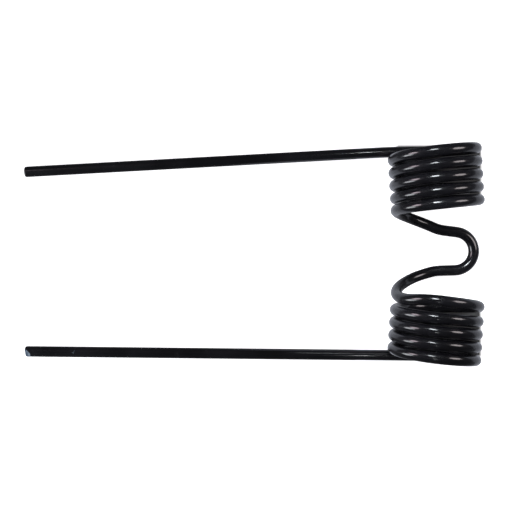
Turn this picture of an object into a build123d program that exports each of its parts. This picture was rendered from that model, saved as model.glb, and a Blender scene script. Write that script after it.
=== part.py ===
"""A double torsion spring: one round steel wire, wound into two coils that share a centre loop.

Frame, in millimetres: the spring lies flat on z = 0. +Z is up, the two legs run out along -X,
and the loop between the coils points along +X. The upper coil, on the +Y side, is right-handed
and the lower coil, on the -Y side, left-handed, so the legs turn together about their coils.
The origin is on the ground at the centre of the loop, where the clamping bolt stands.
"""

import math
import os

from build123d import *

# The wire and how its two cut ends are finished.
WIRE = 5.0  # diameter of the spring wire
TIP_ROUND = 0.7  # rounding of the cut ends
SHEAR_AHEAD = 1.4  # how far past the lower leg's end its torn facet would meet the wire's middle
SHEAR_OUT = 42.0  # angle that facet is turned outwards, away from square to the leg
SHEAR_UP = 43.0  # angle it is tipped upwards

# The two coils, alike in size and opposite in hand.
BORE = 32.0  # clear diameter inside a coil
TURN_GAP = 0.78  # daylight between neighbouring turns
TURNS = 5  # full turns in each coil, from the leg round to the loop
COIL_LEAN = 3.4  # each coil leans in by this angle, away from square to the spring

# The legs, from the line through both coils out to their cut ends. The lower leg runs straight
# into its coil. The upper one is bent a little before its coil.
LEG_REACH = 189.5
UPPER_SET = 2.52  # angle of that bend
SET_LENGTH = 17.0  # how far before the coil it is made
SET_RADIUS = 300.0

# The last turn of each coil, where the wire is led sideways to become an arm of the loop: how
# far round the turn, and the angle to the turns that the wire has there. The lower coil's last
# turn opens, is pulled back, then bends out short and begins to turn into its arm.
UPPER_LAST_TURN = [(0.50, 2.5), (0.72, 2.2)]
LOWER_LAST_TURN = [(0.30, 5.9), (0.50, 3.8), (0.62, -5.4), (0.76, 17.3), (0.90, 23.1)]
UPPER_LEAVING = 26.5  # that angle at the end of the turn, upper coil
LOWER_LEAVING = 17.8  # and lower coil

# The loop, a U that takes a clamping bolt.
LOOP_BEND = 9.0  # radius of the U on the wire's centre line
LOOP_OUT = 13.1  # how far the U's centre stands out from the line through both coils
UPPER_FLARE = 7.3  # the U's upper side flares out by this angle towards its coil
LOWER_FLARE = 1.6  # and its lower side by this
UPPER_ARM_RUN = 1.7  # straight wire between the upper coil and the bend into the U's side
LOWER_ARM_RUN = 0.1  # and below
ARM_BEND = 16.0  # radius of that bend

# What follows from those.
RADIUS = WIRE / 2
COIL_RADIUS = BORE / 2 + RADIUS
ROUND = 2 * math.pi * COIL_RADIUS
PITCH = WIRE + TURN_GAP
EVEN_LENGTH = PITCH * (TURNS - 1)
LEAD = math.atan(PITCH / ROUND)
UP = Vector(0, 0, 1)
LOOP_CENTRE = UP * RADIUS
ARCS_A_TURN = 8  # pairs of arcs that draw one turn where its pitch changes


def flat(angle, side=1):
    """The direction on the ground at an angle from +X, turned over for the lower side."""
    return Vector(math.cos(angle), side * math.sin(angle), 0)


def joined(start, heading, end, arriving, radius):
    """A straight run from start, one bend, and a straight run into end."""
    turn = heading.cross(arriving).Z
    corner = start + heading * ((end - start).cross(arriving).Z / turn)
    angle = math.asin(turn)
    cut = radius * math.tan(abs(angle) / 2)
    before, after = corner - heading * cut, corner + arriving * cut
    bend = JernArc(before, heading, radius, math.degrees(angle))
    return [Line(start, before), bend, Line(after, end)]


def two_arcs(start, heading, end, arriving):
    """Two circular arcs that leave start along one heading and reach end along another."""
    gap = end - start
    both = heading + arriving
    along = gap.dot(both)
    spare = 4 - both.dot(both)
    reach = (math.sqrt(along * along + gap.dot(gap) * spare) - along) / spare
    meeting = (start + heading * reach + end - arriving * reach) / 2
    return [
        TangentArc(start, meeting, tangent=heading),
        TangentArc(end, meeting, tangent=-arriving),
    ]


def last_turn(places, leaving):
    """The last turn on its coil's cylinder unrolled flat, as stations of (run, advance, angle)."""
    run, advance, angle = 0, 0, LEAD
    stations = [(run, advance, angle)]
    for share, next_angle in [*places, (1, leaving)]:
        steps = math.ceil((share - run / ROUND) * ARCS_A_TURN)
        step = (share * ROUND - run) / steps
        change = (math.radians(next_angle) - angle) / steps
        for _ in range(steps):
            run += step
            advance += step * math.tan(angle + change / 2)
            angle += change
            stations.append((run, advance, angle))
    return stations


def half(side, leg_set, stations, arm_run, flare):
    """One side of the spring on the wire's centre line: its leg, the rest of its wire up to the
    U, and where and in which direction the U takes over."""
    lean = math.radians(COIL_LEAN)
    axis = flat(lean - math.pi / 2, side)
    across = flat(lean, side)

    # The coil stands where the wire that leaves it meets the side of the U.
    _, advance, sway = stations[-1]
    leaving = flat(lean - sway, side)
    u_side = flat(-math.radians(flare), side)
    touch = LOOP_CENTRE + u_side.rotate(Axis.Z, 90 * side) * LOOP_BEND
    cut = ARM_BEND * math.tan(leaving.get_angle(u_side) * math.pi / 360)
    wound_off = axis * (EVEN_LENGTH + advance)
    corner = Vector(-LOOP_OUT, 0) + wound_off + leaving * (arm_run + cut)
    corner_y = touch.Y + (corner.X - touch.X) * u_side.Y / u_side.X
    start = Vector(-LOOP_OUT, corner_y - corner.Y, RADIUS)

    # The leg comes in along the line of the coil's first turn, or is bent into it.
    run_in = flat(lean - LEAD, side)
    leg_line = flat(lean - LEAD + math.radians(leg_set), side)
    bent_at = start - run_in * SET_LENGTH
    tip = bent_at - leg_line * ((bent_at.X + LOOP_OUT + LEG_REACH) / leg_line.X)
    if leg_set:
        leg, *wire = joined(tip, leg_line, start, run_in, SET_RADIUS)
    else:
        leg, wire = Line(tip, start), []

    # The even turns are wound up from the ground.
    middle = start + UP * COIL_RADIUS
    coil = Plane(origin=middle, x_dir=-UP, z_dir=axis)
    wire.append(coil * Helix(PITCH, EVEN_LENGTH, COIL_RADIUS, lefthand=side < 0))

    # The last turn and the arm follow.
    def on_coil(run, advance, angle):
        down = -UP * math.cos(run / COIL_RADIUS) + across * math.sin(run / COIL_RADIUS)
        forward = UP * math.sin(run / COIL_RADIUS) + across * math.cos(run / COIL_RADIUS)
        place = middle + axis * (EVEN_LENGTH + advance) + down * COIL_RADIUS
        return place, forward * math.cos(angle) + axis * math.sin(angle)

    for here, ahead in zip(stations, stations[1:]):
        wire += two_arcs(*on_coil(*here), *on_coil(*ahead))
    wire += joined(start + wound_off, leaving, touch, u_side, ARM_BEND)
    return leg, wire, touch, u_side


upper_turn = last_turn(UPPER_LAST_TURN, UPPER_LEAVING)
lower_turn = last_turn(LOWER_LAST_TURN, LOWER_LEAVING)
upper_leg, upper_wire, touch, u_side = half(
    1, UPPER_SET, upper_turn, UPPER_ARM_RUN, UPPER_FLARE
)
lower_leg, lower_wire, *_ = half(-1, 0, lower_turn, LOWER_ARM_RUN, LOWER_FLARE)

# One wire runs from leg to leg, through the U between the coils.
u_bend = JernArc(touch, u_side, LOOP_BEND, UPPER_FLARE + LOWER_FLARE - 180)
drawn = [*upper_wire, u_bend, *lower_wire]
path = Wire([edge for part in drawn for edge in part.edges()])
spring = sweep(Plane(origin=upper_leg @ 1, z_dir=upper_leg % 1) * Circle(RADIUS), path=path)

# The legs are plain bars; a corner of the lower one's end is also torn to a facet by the shear.
for leg in (upper_leg, lower_leg):
    end = Plane(origin=leg @ 0, z_dir=leg % 0)
    bar = extrude(end * Circle(RADIUS), amount=leg.length)
    rim = bar.edges().filter_by(GeomType.CIRCLE).sort_by_distance(leg @ 0)[0]
    bar = fillet(rim, TIP_ROUND)
    if leg is lower_leg:
        facing = flat(math.radians(180 + SHEAR_OUT)) + UP * math.tan(math.radians(SHEAR_UP))
        facet = Plane(origin=leg @ 0 - (leg % 0) * SHEAR_AHEAD, z_dir=facing)
        bar = split(bar, bisect_by=facet, keep=Keep.BOTTOM)
    spring += bar

os.makedirs("parts", exist_ok=True)
export_step(spring, "parts/spring_wire.step")
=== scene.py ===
# %% [markdown]
# # A double torsion spring in gloss black enamel
# The spring is one steel wire, wound into two coils that share a U-shaped loop, and coated in
# black enamel. Its solid comes from the CAD model and is used as it is: what is made here is its
# finish, the table it lies on, the lamps and the camera. Blender counts in metres. Small sizes
# are written in millimetres below and turned into metres where they are used.

# %% Load the frame
import math

import bpy
from mathutils import Matrix, Vector

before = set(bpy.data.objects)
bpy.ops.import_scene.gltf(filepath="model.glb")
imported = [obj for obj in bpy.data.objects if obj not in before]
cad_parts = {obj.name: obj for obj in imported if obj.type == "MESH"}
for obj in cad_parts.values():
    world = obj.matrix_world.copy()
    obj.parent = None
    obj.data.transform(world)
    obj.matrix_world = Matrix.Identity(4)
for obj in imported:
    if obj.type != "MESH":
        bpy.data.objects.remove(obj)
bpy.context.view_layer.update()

MM = 0.001
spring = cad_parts["spring_wire"]

# %% [markdown]
# ## The camera
# It hangs above the table and looks almost straight down, nearly half a metre away, so the
# coils are seen from above with a little of their sides.

# %% The camera
CAMERA_PLACE = Vector((-90.15, 2.69, 452.46)) * MM
CAMERA_AIM = Vector((-93.98, -1.82, 2.5)) * MM
PICTURE_UP = Vector((0, 1, 0))  # this side of the spring is up in the picture
LENS = 67.34  # focal length in millimetres

ahead = (CAMERA_AIM - CAMERA_PLACE).normalized()
right = ahead.cross(PICTURE_UP).normalized()
turned = Matrix((right, right.cross(ahead), -ahead)).transposed()
camera = bpy.data.objects.new("camera", bpy.data.cameras.new("camera"))
camera.data.lens = LENS
camera.matrix_world = Matrix.Translation(CAMERA_PLACE) @ turned.to_4x4()
bpy.context.scene.collection.objects.link(camera)
bpy.context.scene.camera = camera
print("camera", [round(c, 3) for c in CAMERA_PLACE], "lens", LENS)

# %% [markdown]
# ## Helpers for materials
# Every material here is drawn by nodes. These few lines make a node, wire it up and set its
# plain numbers, so that each material below reads as a short list.

# %% Helpers for materials
def new_material(name):
    """A material with an empty node tree, and that tree."""
    material = bpy.data.materials.new(name)
    material.use_nodes = True
    material.node_tree.nodes.clear()
    return material, material.node_tree


def node(tree, kind, inputs=None, **settings):
    """A shader node. An input is given a number or colour, or another node's output."""
    made = tree.nodes.new("ShaderNode" + kind)
    for name, value in settings.items():
        setattr(made, name, value)
    for name, value in (inputs or {}).items():
        if isinstance(value, bpy.types.NodeSocket):
            tree.links.new(value, made.inputs[name])
        else:
            made.inputs[name].default_value = value
    return made

# %% [markdown]
# Masks and colours are worked out with a few kinds of sum, and these helpers give each a name.

# %% Helpers for sums
def math_node(tree, operation, a, b=0.0):
    """The result of one sum on two numbers or outputs."""
    return node(tree, "Math", {0: a, 1: b}, operation=operation).outputs[0]


def times(tree, first, *others):
    """The product of numbers and outputs."""
    for other in others:
        first = math_node(tree, "MULTIPLY", first, other)
    return first


def between(tree, value, low, high, out_low=0.0, out_high=1.0):
    """A value taken smoothly from one range to another, and held at its ends."""
    made = node(tree, "MapRange", {"Value": value, "From Min": low, "From Max": high,
                                   "To Min": out_low, "To Max": out_high},
                interpolation_type="SMOOTHSTEP")
    return made.outputs["Result"]


def mixed(tree, share, first, second):
    """A colour between two, by the share of the second."""
    return node(tree, "MixRGB", {"Fac": share, "Color1": first, "Color2": second}).outputs[0]

# %% [markdown]
# ## The table
# A white table top under bright light looks plain white to a camera, except where something
# stands so close over it that hardly any light gets in. A floor lit by lamps alone would come
# out grey, so this one also gives out light of its own, but only to the camera and to what is
# mirrored in the enamel. The lamps' light and shadows come on top. First comes the top itself,
# with what its material has to know: the place on it, and who is looking.

# %% The table
TABLE_RADIUS = 3.0

bpy.ops.object.select_all(action="DESELECT")
bpy.ops.mesh.primitive_circle_add(vertices=96, radius=TABLE_RADIUS, fill_type="NGON")
table = bpy.context.object
table.name = "table"
white, tree = new_material("white_table_top")
table.data.materials.append(white)
place = node(tree, "SeparateXYZ", {"Vector": node(tree, "TexCoord").outputs["Object"]}).outputs
aside = math_node(tree, "ABSOLUTE", place["Y"])
rays = node(tree, "LightPath").outputs
print("table", TABLE_RADIUS, "m in radius")

# %% [markdown]
# Each coil covers a strip of the table, and there the table gets painted shade, as if the turns
# kept all light out, so the gaps between them look black from above and in the enamel. From the
# side the strips would show as dark rectangles, so they fade out for a slanting view. Layer
# Weight tells how slanting it is: its Facing is 0 from straight above and 1 along the table.

# %% The painted shade under the coils
UNDER_COILS_X = (-27, 13)  # from and to, in millimetres
UNDER_COILS_Y = (24.5, 50)  # on both sides of the loop
COVER_FADE = 2  # width of the strips' soft edges
FROM_ABOVE, SLANTING = 0.05, 0.15  # Facing at 18 and at 32 degrees from straight above


def span(tree, value, low, high, low_fade, high_fade):
    """1 between two edges in millimetres and 0 outside, with a soft fade across each edge."""
    in_mm = times(tree, value, 1 / MM)
    return times(tree, between(tree, in_mm, low - low_fade / 2, low + low_fade / 2),
                 between(tree, in_mm, high + high_fade / 2, high - high_fade / 2))


facing = node(tree, "LayerWeight", {"Blend": 0.5}).outputs["Facing"]
above = between(tree, facing, SLANTING, FROM_ABOVE)
straight = math_node(tree, "MAXIMUM", rays["Is Glossy Ray"], above)
# painted shade: the strips under the coils, seen from above and in the enamel
painted_shade = times(tree, span(tree, place["X"], *UNDER_COILS_X, COVER_FADE, COVER_FADE),
                span(tree, aside, *UNDER_COILS_Y, COVER_FADE, COVER_FADE), straight)
print("covered strips", UNDER_COILS_X, "by", UNDER_COILS_Y, "mm")

# %% [markdown]
# Beside the coils the table's own light comes back bit by bit. Ambient Occlusion tells how open
# a place lies, and that cuts the light as painted shade. From above the table is white again
# almost at once. From the side it stays shaded a little further out, which is what seats the
# spring on it.

# %% How open the table lies
LOOKS_ROUND = 40 * MM  # how far off something still closes a place in
OPEN_ASIDE, OPEN_ABOVE = 0.8, 0.25  # how open is enough, seen from the side and from above
OWN_LIGHT = 0.85

open_sky = node(tree, "AmbientOcclusion", {"Distance": LOOKS_ROUND}, samples=16).outputs["AO"]
enough = between(tree, straight, 0.0, 1.0, OPEN_ASIDE, OPEN_ABOVE)
# painted shade: the table's own light dims where the place lies closed in
lightness = times(tree, between(tree, open_sky, 0.0, enough, 0.0, OWN_LIGHT),
                  math_node(tree, "SUBTRACT", 1, painted_shade))
print("own light", OWN_LIGHT)

# %% [markdown]
# The enamel mirrors the table beside it. A table that is white all round would give each leg and
# turn a wide grey rim. So in the enamel the table is nearly dark, but for soft painted pools of
# light, which only the enamel sees: two that overlap between the legs, before the coils, and one
# on the loop's side. They do what white and black cards round an object do in a studio.

# %% What the enamel mirrors
POOLS = (  # from and to in x, the fades there, half the width in y, all in mm, and brightness
    (-100, -29, 28, 42, 40, 0.80),
    (-46, -29, 2, 42, 62, 0.90),
    (8, 240, 2, 42, 85, 0.60),
)
POOL_SIDE_FADE = 14
MIRRORED = 0.06  # brightness of the rest of the table in the enamel

mirrored = MIRRORED
for low, high, low_fade, high_fade, half, brightness in POOLS:
    # a painted pool of light, seen only in the enamel
    pool = times(tree, brightness, span(tree, place["X"], low, high, low_fade, high_fade),
                 span(tree, place["Y"], -half, half, POOL_SIDE_FADE, POOL_SIDE_FADE))
    mirrored = math_node(tree, "MAXIMUM", mirrored, pool)
print("pools of light", len(POOLS))

# %% [markdown]
# The material adds up the table's own light and the light it throws back. Its own light is cool
# in the enamel and neutral to the camera.

# %% The table's white
NEUTRAL, COOL = (1, 1, 1, 1), (0.84, 0.88, 1.0, 1)
PAPER, SHADED_PAPER = (0.8, 0.8, 0.8, 1), (0.06, 0.06, 0.06, 1)

seen = times(tree, rays["Is Camera Ray"], lightness)
in_gloss = times(tree, rays["Is Glossy Ray"], mirrored, lightness)
own = node(tree, "Emission", {"Color": mixed(tree, rays["Is Glossy Ray"], NEUTRAL, COOL),
                              "Strength": math_node(tree, "ADD", seen, in_gloss)})
# painted shade: the paper turns dark grey on the strips under the coils, and in the enamel
shade = math_node(tree, "MAXIMUM", painted_shade, rays["Is Glossy Ray"])
lit = node(tree, "BsdfDiffuse", {"Color": mixed(tree, shade, PAPER, SHADED_PAPER)})
both = node(tree, "AddShader", {0: lit.outputs[0], 1: own.outputs[0]})
node(tree, "OutputMaterial", {"Surface": both.outputs[0]})
print("table's nodes", len(tree.nodes))

# %% [markdown]
# ## The lamps
# Four soft lamps stand round the coils, and each turn of wire mirrors them as short bright
# strokes. Two narrow ones over the legs put a stroke on each leg beside its coil. A lamp's beam
# can be narrowed, as with a grid on a studio lamp. Blender then packs the same power into the
# narrower beam, so the power is cut by as much, and the brightness stays what is written here.

# %% The lamps
ON_COILS = (-12, 0, 44)
LAMPS = {  # place, what it faces and size in millimetres, brightness, beam in degrees, colour
    "lamp_over": ((-45, 94, 185), (10, -10, 30), (54, 66), 56.0, 40, (0.90, 0.96, 1.0)),
    "lamp_right": ((148, 56, 167), ON_COILS, (105, 125), 6.5, 180, (1.0, 0.91, 0.92)),
    "lamp_left": ((-320, -60, 104), ON_COILS, (130, 170), 9.5, 110, (0.93, 0.96, 1.0)),
    "lamp_left_high": ((-262, 60, 165), ON_COILS, (120, 115), 10.0, 90, (1.0, 0.86, 0.94)),
    "spot_upper_leg": ((-26, 85, 160), (-42, 46, 5), (5, 26), 75.0, 50, (0.93, 0.98, 1.0)),
    "spot_lower_leg": ((-32, -77, 160), (-46, -48, 5), (4, 22), 75.0, 50, (0.98, 0.99, 1.0)),
}

for name, (stands, faces, size, brightness, beam, colour) in LAMPS.items():
    light = bpy.data.lights.new(name, "AREA")
    light.shape = "ELLIPSE"
    light.size, light.size_y = size[0] * MM, size[1] * MM
    area = math.pi * light.size * light.size_y / 4
    half_beam = math.radians(beam / 2)
    light.spread = 2 * half_beam
    light.energy = brightness * math.pi * area * (1 - half_beam / math.tan(half_beam))
    light.color = colour
    lamp = bpy.data.objects.new(name, light)
    lamp.location = Vector(stands) * MM
    towards = Vector(faces) * MM - lamp.location
    lamp.rotation_euler = towards.to_track_quat("-Z", "Y").to_euler()
    lamp.visible_camera = False
    bpy.context.scene.collection.objects.link(lamp)
    print(name, [round(c, 3) for c in lamp.location], round(light.energy, 3), "W")

# %% [markdown]
# The room itself is the world. It lights the table and the spring evenly, looks white to the
# camera where it shows past the table's edge, and is dim in the enamel, as a dark ceiling is.

# %% The room
ROOM_LIGHT, ROOM_IN_ENAMEL = 0.5, 0.05
DAYLIGHT = (0.92, 0.95, 1.0, 1)

room = bpy.data.worlds.new("room")
bpy.context.scene.world = room
room.use_nodes = True
tree = room.node_tree
tree.nodes.clear()
rays = node(tree, "LightPath").outputs
dim = between(tree, rays["Is Glossy Ray"], 0.0, 1.0, ROOM_LIGHT, ROOM_IN_ENAMEL)
strength = math_node(tree, "MAXIMUM", rays["Is Camera Ray"], dim)
tone = mixed(tree, rays["Is Camera Ray"], DAYLIGHT, NEUTRAL)
sky = node(tree, "Background", {"Color": tone, "Strength": strength})
node(tree, "OutputWorld", {"Surface": sky.outputs[0]})
print("room's light", ROOM_LIGHT, "and in the enamel", ROOM_IN_ENAMEL)

# %% [markdown]
# ## The wire's surface
# The CAD model hands over its surface as triangles, with doubled points where its faces meet.
# The shading breaks there, and on gloss that shows. Welding the points mends it, and the shading
# is then weighted by the corners of the triangles, but not across the sharp edges of a cut end.

# %% The wire's surface
WELD_WITHIN = 0.01 * MM
SHARP_FROM = 40  # degrees between two faces that meet in a sharp edge

weld = spring.modifiers.new("weld_seams", "WELD")
weld.merge_threshold = WELD_WITHIN
cut_edges = spring.modifiers.new("keep_cut_edges", "EDGE_SPLIT")
cut_edges.split_angle = math.radians(SHARP_FROM)
shading = spring.modifiers.new("even_shading", "WEIGHTED_NORMAL")
shading.mode = "CORNER_ANGLE"
print("modifiers", [modifier.name for modifier in spring.modifiers])

# %% [markdown]
# ## Marks in the enamel
# Each mark is a mask: 1 on the mark, 0 off it. To say where a mark lies, two helpers measure
# from a point of the surface, and along a direction.

# %% Measuring on the wire
enamel, tree = new_material("black_enamel_gloss")
where = node(tree, "TexCoord").outputs["Object"]


def from_point(point):
    """Where the surface lies as seen from a point, in millimetres."""
    in_mm = node(tree, "VectorMath", {0: where, "Scale": 1 / MM}, operation="SCALE").outputs[0]
    return node(tree, "VectorMath", {0: in_mm, 1: point}, operation="SUBTRACT").outputs[0]


def along(offset, direction):
    """How far an offset reaches in a direction."""
    made = node(tree, "VectorMath", {0: offset, 1: direction}, operation="DOT_PRODUCT")
    return made.outputs["Value"]

# %% [markdown]
# A corner of the lower leg's end was torn by the shear when the wire was cut, and the enamel on
# that facet is thin. Its blue-grey below is partly the steel showing through and partly a
# painted reflection of the light that the facet throws back. The facet is flat, so the mask
# takes what lies close to its plane. The plane also cuts through the rest of the spring, so only
# the legs' tips are taken.

# %% The torn facet
TORN_THROUGH = (-204.0, -47.4, 2.5)  # a point of the torn facet's plane
TORN_OUT, TORN_UP = 42.0, 43.0  # angles that it is turned outwards and upwards
TORN_DEPTH = 0.2  # how far off the plane the mask ends, in millimetres
TORN_FULL = 0.3  # the mask is made full from here up
TIPS_FROM_X = -196.0
TIPS_FADE = 1.0

turn = math.radians(180 + TORN_OUT)
rise = math.tan(math.radians(TORN_UP))
torn_facing = Vector((math.cos(turn), math.sin(turn), rise)).normalized()
off_plane = math_node(tree, "ABSOLUTE", along(from_point(TORN_THROUGH), torn_facing))
past_tips = along(from_point((TIPS_FROM_X, 0, 0)), (-1, 0, 0))
torn = times(tree, between(tree, off_plane, TORN_DEPTH, 0.0),
             between(tree, past_tips, -TIPS_FADE / 2, TIPS_FADE / 2))
torn = between(tree, torn, 0.0, TORN_FULL)
print("torn facet faces", [round(c, 2) for c in torn_facing])

# %% [markdown]
# Handling left a small scratch of two strokes on the lower leg, not far from its torn end. A
# third, short stroke on the upper leg near its coil is a painted glint, a speck of light on the
# enamel.
# Each stroke is full in its middle and thins out lengthways and sideways.

# %% Scratches and a painted glint
STROKES = (  # middle in millimetres, angle in degrees, length in millimetres
    ((-179.2, -47.3, 4.9), 65, 1.9),
    ((-179.6, -47.9, 4.9), -35, 1.3),
    # a painted glint on the upper leg, not a real mark
    ((-53.0, 45.7, 4.9), 0, 0.7),
)
STROKE_WIDTH = 0.22

scratches_and_glint = 0.0
for middle, angle, length in STROKES:
    offset = from_point(middle)
    run = Vector((math.cos(math.radians(angle)), math.sin(math.radians(angle)), 0))
    off_end = math_node(tree, "ABSOLUTE", along(offset, run))
    off_line = math_node(tree, "ABSOLUTE", along(offset, run.cross((0, 0, 1))))
    stroke = times(tree, between(tree, off_end, length / 2, length / 3),
                   between(tree, off_line, STROKE_WIDTH, STROKE_WIDTH / 4))
    scratches_and_glint = math_node(tree, "MAXIMUM", scratches_and_glint, stroke)
print("strokes", len(STROKES))

# %% [markdown]
# Here and there a speck of dust was baked in as a nib. A Voronoi texture divides the surface
# into cells, each with a colour of its own. The colour picks out a few cells, and a nib stands
# in the middle of each of those.

# %% Nibs
NIB_GRID = 650.0  # cells in a metre
NIBS_SHARE = 0.12  # of the cells that hold a nib
NIB_EDGE, NIB_TOP = 0.22, 0.05  # from a cell's middle, where its nib begins and is full

cells = node(tree, "TexVoronoi", {"Vector": where, "Scale": NIB_GRID})
chosen = node(tree, "SeparateColor", {"Color": cells.outputs["Color"]}).outputs[0]
nibs = times(tree, between(tree, cells.outputs["Distance"], NIB_EDGE, NIB_TOP),
             math_node(tree, "LESS_THAN", chosen, NIBS_SHARE))
print("nibs in", NIBS_SHARE, "of the cells")

# %% [markdown]
# ## The enamel
# Black stoving enamel is sprayed or dipped on and baked, so it flows out almost smooth but keeps
# a faint orange peel. Four noise patterns make it uneven: shallow waves, fine grit, wide clouds,
# and patches where it was rubbed in handling.

# %% Patterns in the enamel
WAVES, GRIT, CLOUDS, RUBS = 260.0, 1500.0, 55.0, 210.0  # how fine each is, per metre
RUBBED_FROM, RUBBED_FULL = 0.58, 0.72  # where in the pattern of rubs a patch begins and is full


def noise(scale, detail, roughness=0.5):
    """A soft random pattern over the surface."""
    return node(tree, "TexNoise", {"Vector": where, "Scale": scale, "Detail": detail,
                                   "Roughness": roughness}).outputs["Fac"]


waves = noise(WAVES, 2.0)
grit = noise(GRIT, 2.0)
clouds = noise(CLOUDS, 4.0)
rubs = noise(RUBS, 6.0, 0.7)
rubbed = between(tree, rubs, RUBBED_FROM, RUBBED_FULL)
print("waves", round(1000 / WAVES, 1), "mm, grit", round(1000 / GRIT, 1), "mm")

# %% [markdown]
# Light is thrown back twice: by the mirror-like skin of the enamel, which is the coat, and more
# softly by what lies in it, which is the base. The waves and the nibs bend both reflections. The
# grit, and the roughness of the torn facet, fray that of the base alone.

# %% Its relief
NIB_HEIGHT = 0.12  # beside the waves, which are 1 high
WAVE_STRENGTH, WAVE_HEIGHT = 0.12, 0.4 * MM
GRIT_STRENGTH, GRIT_HEIGHT = 0.06, 0.08 * MM

raised = math_node(tree, "ADD", waves, times(tree, nibs, NIB_HEIGHT))
bent = node(tree, "Bump", {"Strength": WAVE_STRENGTH, "Distance": WAVE_HEIGHT,
                           "Height": raised}).outputs["Normal"]
rough = math_node(tree, "ADD", grit, times(tree, torn, rubs))
frayed = node(tree, "Bump", {"Strength": GRIT_STRENGTH, "Distance": GRIT_HEIGHT,
                             "Height": rough, "Normal": bent}).outputs["Normal"]
print("strength of the waves", WAVE_STRENGTH, "and of the grit", GRIT_STRENGTH)

# %% [markdown]
# The enamel is as good as black, a little greyer where it was rubbed. On the torn facet and the
# scratches it lets blue-grey steel show. On the facet that blue-grey is also a painted
# reflection, and the short stroke on the upper leg is a painted glint in the same colour.

# %% Its colours
DEEP_BLACK, BLACK = (0.003, 0.003, 0.004, 1), (0.006, 0.006, 0.008, 1)
DUST = (0.020, 0.020, 0.022, 1)
# blue-grey of the steel, which is also the painted reflection on the torn facet and the painted
# glint
DARK_STEEL_AND_GLEAM, STEEL_AND_GLEAM = (0.07, 0.10, 0.14, 1), (0.24, 0.29, 0.34, 1)
CLOUDY = (0.3, 0.7)  # from the thin to the full part of a cloud
PATCHY = (0.4, 0.6)  # from the dark to the bright patches of the steel
DUST_SHARE = 0.35  # of it on a rubbed place
# how strongly the scratches and the painted glint show, beside the torn facet
SCRATCH_AND_GLINT_SHARE = 0.4  # how worn a scratch is, beside the torn facet
# the share of blue-grey on worn places, on the painted reflection and on the painted glint
STEEL_AND_GLEAM_SHARE = 0.8  # of it where the enamel is fully worn

wear_and_gleam = math_node(tree, "MAXIMUM", torn, times(tree, scratches_and_glint, SCRATCH_AND_GLINT_SHARE))
black = mixed(tree, between(tree, clouds, *CLOUDY), DEEP_BLACK, BLACK)
dusty = mixed(tree, times(tree, rubbed, DUST_SHARE), black, DUST)
steel_and_gleam = mixed(tree, between(tree, rubs, *PATCHY), DARK_STEEL_AND_GLEAM, STEEL_AND_GLEAM)
tint = mixed(tree, times(tree, wear_and_gleam, STEEL_AND_GLEAM_SHARE), dusty, steel_and_gleam)
print("worn places show", STEEL_AND_GLEAM_SHARE, "steel_and_gleam")

# %% [markdown]
# The skin is thinner where the enamel is worn or rubbed, and whole elsewhere. With these the
# material is put together and given to the wire.

# %% The enamel
BASE_ROUGHNESS = (0.32, 0.42)
RUBBED_ROUGHNESS = 0.08  # added on a rubbed place
BASE_SHINE = 0.08
SKIN_ROUGHNESS = 0.14
SKIN_LOST_WORN, SKIN_LOST_RUBBED = 0.7, 0.2

base_gloss = math_node(tree, "ADD", between(tree, clouds, *CLOUDY, *BASE_ROUGHNESS),
                       times(tree, rubbed, RUBBED_ROUGHNESS))
lost = math_node(tree, "MAXIMUM", times(tree, wear_and_gleam, SKIN_LOST_WORN),
                 times(tree, rubbed, SKIN_LOST_RUBBED))
paint = node(tree, "BsdfPrincipled", {
    "Base Color": tint, "Roughness": base_gloss, "Normal": frayed,
    "Specular IOR Level": BASE_SHINE, "Coat Weight": math_node(tree, "SUBTRACT", 1.0, lost),
    "Coat Roughness": SKIN_ROUGHNESS, "Coat Normal": bent})
node(tree, "OutputMaterial", {"Surface": paint.outputs[0]})
spring.material_slots[0].material = enamel
print("enamel's nodes", len(tree.nodes))

# %% [markdown]
# ## Finish
# The picture's colours are shown as they are.

# %% Finish
bpy.context.scene.view_settings.view_transform = "Standard"
